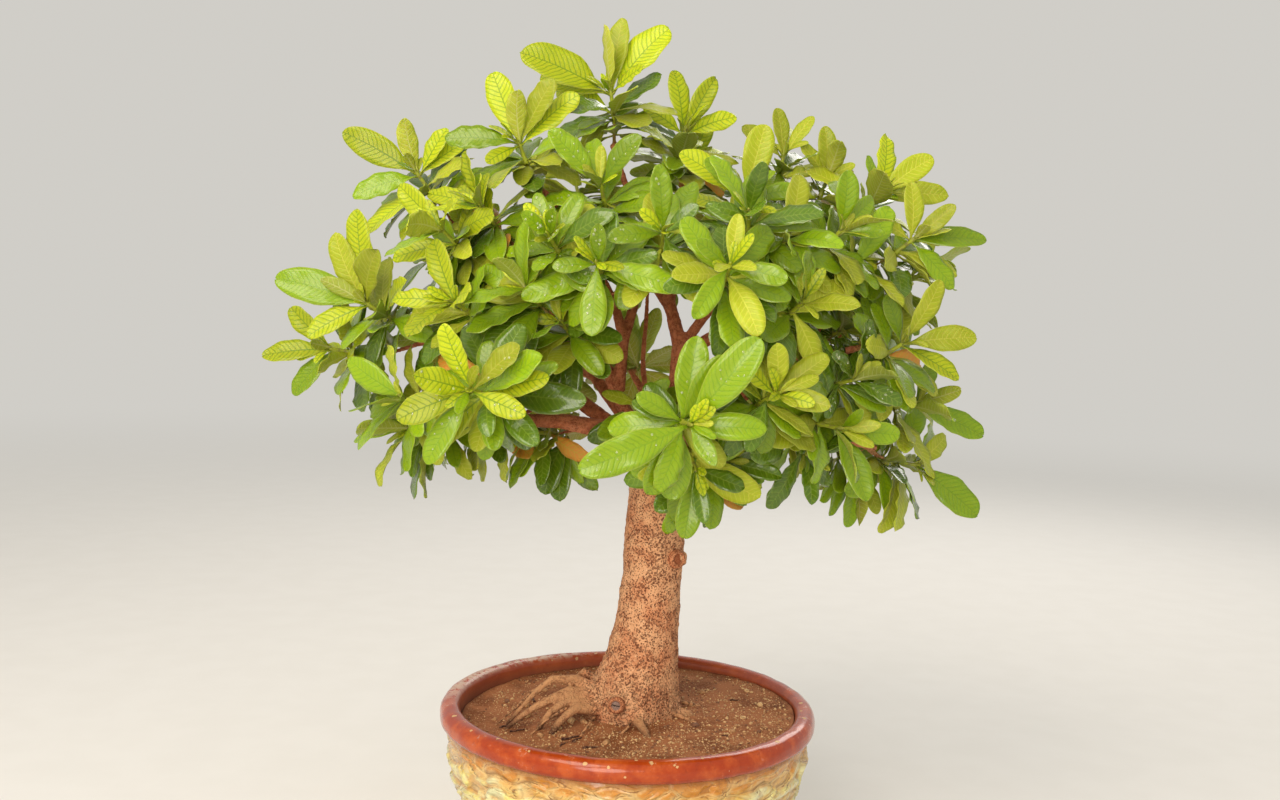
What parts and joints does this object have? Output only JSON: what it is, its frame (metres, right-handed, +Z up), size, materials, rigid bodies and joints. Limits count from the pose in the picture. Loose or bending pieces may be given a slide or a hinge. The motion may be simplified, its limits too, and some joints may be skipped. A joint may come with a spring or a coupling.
{
  "type": "potted bonsai tree",
  "caption": "Broad-leaved bonsai in informal upright style: straight corky trunk, surface roots, spreading leafy crown, in a round glazed bowl of soil.",
  "frame": {"origin": "centre of the flat base of the bowl, where it stands", "axes": "+Z up along the bowl's axis, +X to the right of the tree's front, +Y away from its front"},
  "size_m": [0.6799, 0.4897, 0.8031],
  "materials": {
    "glazed_clay": "glossy glaze over rough relief",
    "red_soil": "loose and dry",
    "bark": "corky",
    "young_leaf": "satin",
    "mature_leaf": "satin",
    "old_leaf": "glossy"
  },
  "bodies": {
    "root": {"bowl": "glazed_clay", "soil": "red_soil", "wood": "bark", "shoot_front_wet": "mature_leaf", "shoot_front_left": "young_leaf", "shoot_front_star": "mature_leaf", "shoot_front_middle": "mature_leaf", "shoot_front_cross": "mature_leaf", "shoot_front_right": "young_leaf", "shoot_front_hanging": "mature_leaf", "shoot_top": "young_leaf", "shoot_top_left": "young_leaf", "shoot_far_left_high": "young_leaf", "shoot_far_left": "young_leaf", "shoot_far_left_low": "young_leaf", "shoot_right_tips": "young_leaf", "shoot_far_right_high": "young_leaf", "shoot_right_crest": "young_leaf", "shoot_far_right_low": "mature_leaf", "shoot_right_skirt": "mature_leaf", "shoot_crest_right": "young_leaf", "shoot_crest_middle": "young_leaf", "shoot_crest_back_right": "young_leaf", "shoot_dark_heart": "old_leaf", "shoot_right_upright": "mature_leaf", "shoot_right_dark": "old_leaf", "shoot_right_veined": "mature_leaf", "shoot_right_hanging": "old_leaf", "shoot_right_under": "mature_leaf", "shoot_left_big": "old_leaf", "shoot_left_upper": "young_leaf", "shoot_left_inner": "mature_leaf", "shoot_left_dark": "old_leaf", "shoot_left_pale": "mature_leaf", "shoot_left_low": "mature_leaf", "shoot_left_skirt": "mature_leaf", "shoot_left_under": "mature_leaf", "shoot_crown_front": "mature_leaf", "shoot_crown_left": "young_leaf", "shoot_shoulder_left": "young_leaf", "shoot_shoulder_right": "mature_leaf", "shoot_right_inner": "mature_leaf", "shoot_right_shoulder": "mature_leaf", "shoot_right_back_edge": "mature_leaf", "shoot_crest_far": "young_leaf", "shoot_trunk_shoot": "mature_leaf", "shoot_under_middle": "old_leaf", "shoot_under_left": "old_leaf", "shoot_right_gap": "mature_leaf", "shoot_back_top": "young_leaf", "shoot_back_crest": "young_leaf", "shoot_back_left_high": "young_leaf", "shoot_back_left_mid": "mature_leaf", "shoot_back_left_low": "mature_leaf", "shoot_back_left_far": "young_leaf", "shoot_back_middle": "mature_leaf", "shoot_back_right_far": "young_leaf", "shoot_back_right_low": "mature_leaf", "shoot_back_right_mid": "mature_leaf", "shoot_back_low": "mature_leaf"}
  },
  "joints": []
}
